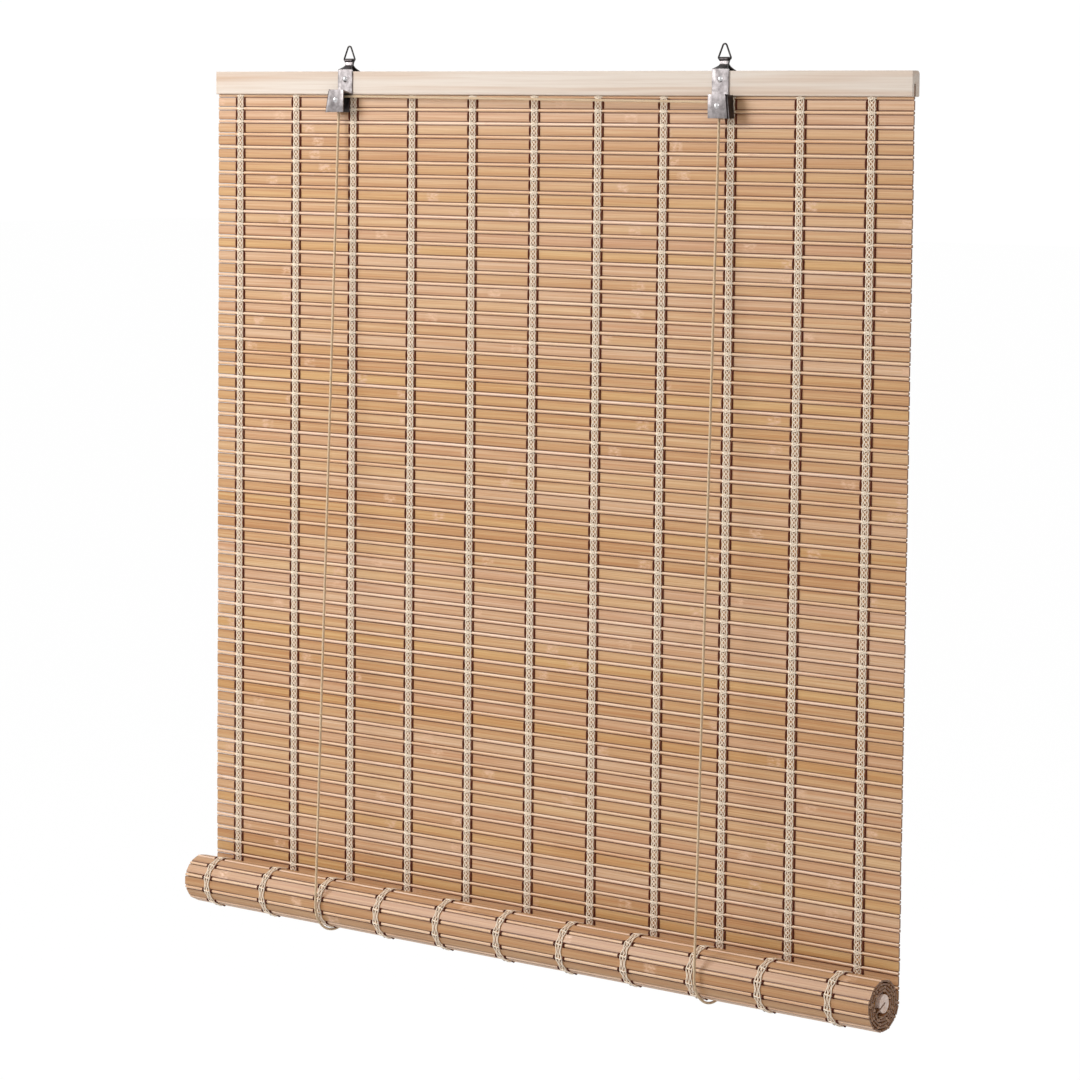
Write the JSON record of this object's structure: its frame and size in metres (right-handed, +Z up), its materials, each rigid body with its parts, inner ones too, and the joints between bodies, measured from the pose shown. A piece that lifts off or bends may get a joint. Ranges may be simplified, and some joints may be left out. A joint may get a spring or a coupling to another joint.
{
  "type": "bamboo roll up blind",
  "caption": "Roll-up window blind of flat bamboo slats and thin round sticks, partly rolled, with wooden headrail, pulleys, lift cords and hanging rings.",
  "frame": {"origin": "midway along the blind on the line through the two wire rings, where hooks bear", "axes": "+X to the right along the headrail as seen from the front, front faces -Y, +Z up"},
  "size_m": [0.7, 0.0555, 0.7298],
  "materials": {
    "headrail_wood": "pale planed softwood, satin",
    "bottom_rail_wood": "pale planed softwood, bare",
    "bamboo": "honey-tan split bamboo, satin, fine grain",
    "bracket_steel": "dull zinc-plated stamped steel",
    "ring_wire": "dark plated wire",
    "rivet_steel": "bright plated",
    "pulley_plastic": "moulded, matt black",
    "binding_thread": "cream crocheted cotton thread",
    "lift_cord": "beige twisted cord"
  },
  "bodies": {
    "frame": {"axle_left": "rivet_steel", "axle_right": "rivet_steel", "band_01": "binding_thread", "band_02": "binding_thread", "band_03": "binding_thread", "band_04": "binding_thread", "band_05": "binding_thread", "band_06": "binding_thread", "band_07": "binding_thread", "band_08": "binding_thread", "band_09": "binding_thread", "band_10": "binding_thread", "band_11": "binding_thread", "bracket_left": "bracket_steel", "bracket_right": "bracket_steel", "cord_back_left": "lift_cord", "cord_back_right": "lift_cord", "cord_end_right": "lift_cord", "cord_front_left": "lift_cord", "cord_front_right": "lift_cord", "cord_tie_left": "lift_cord", "cord_tie_right": "lift_cord", "cross_cord": "lift_cord", "headrail": "headrail_wood", "mat": "bamboo", "rivet_left": "rivet_steel", "rivet_right": "rivet_steel", "stop_knot": "lift_cord"},
    "ring_left": {"ring_left": "ring_wire"},
    "ring_right": {"ring_right": "ring_wire"},
    "pulley_left": {"pulley_left": "pulley_plastic"},
    "pulley_right_rear": {"pulley_right_rear": "pulley_plastic"},
    "pulley_right_front": {"pulley_right_front": "pulley_plastic"},
    "lift_loops": {"cord_loop_left": "lift_cord", "cord_loop_right": "lift_cord"},
    "roll": {"roll_turns": "bamboo", "bottom_rail": "bottom_rail_wood", "roll_band_01": "binding_thread", "roll_band_02": "binding_thread", "roll_band_03": "binding_thread", "roll_band_04": "binding_thread", "roll_band_05": "binding_thread", "roll_band_06": "binding_thread", "roll_band_07": "binding_thread", "roll_band_08": "binding_thread", "roll_band_09": "binding_thread", "roll_band_10": "binding_thread", "roll_band_11": "binding_thread"}
  },
  "joints": [
    {"name": "ring_left_swing", "type": "hinge", "parent": "frame", "child": "ring_left", "pos_m": [-0.203, 0, -0.01092], "axis": [1, 0, 0], "range_deg": [-105, 135]},
    {"name": "ring_right_swing", "type": "hinge", "parent": "frame", "child": "ring_right", "pos_m": [0.1778, 0, -0.01092], "axis": [1, 0, 0], "range_deg": [-105, 135]},
    {"name": "roll_lift", "type": "slide", "parent": "frame", "child": "lift_loops", "axis": [0, 0, 1], "range_m": [0, 0.62], "deforming": ["mat", "band_01", "band_02", "band_03", "band_04", "band_05", "band_06", "band_07", "band_08", "band_09", "band_10", "band_11", "cord_back_left", "cord_front_left", "cord_back_right", "cord_front_right"]},
    {"name": "roll_turn", "type": "hinge", "parent": "lift_loops", "child": "roll", "pos_m": [0, -0.0212, -0.70432], "axis": [1, 0, 0], "range_deg": [-1801, 0]},
    {"name": "pulley_left_spin", "type": "hinge", "parent": "frame", "child": "pulley_left", "pos_m": [-0.206, 0, -0.04282], "axis": [0, 1, 0], "continuous": true},
    {"name": "pulley_right_rear_spin", "type": "hinge", "parent": "frame", "child": "pulley_right_rear", "pos_m": [0.1808, 0, -0.04612], "axis": [0, 1, 0], "continuous": true},
    {"name": "pulley_right_front_spin", "type": "hinge", "parent": "frame", "child": "pulley_right_front", "pos_m": [0.1808, 0, -0.04612], "axis": [0, 1, 0], "continuous": true}
  ],
  "couplings": [
    {"joint": "roll_turn", "follows": "roll_lift", "rad_per_m": -50.671}
  ]
}
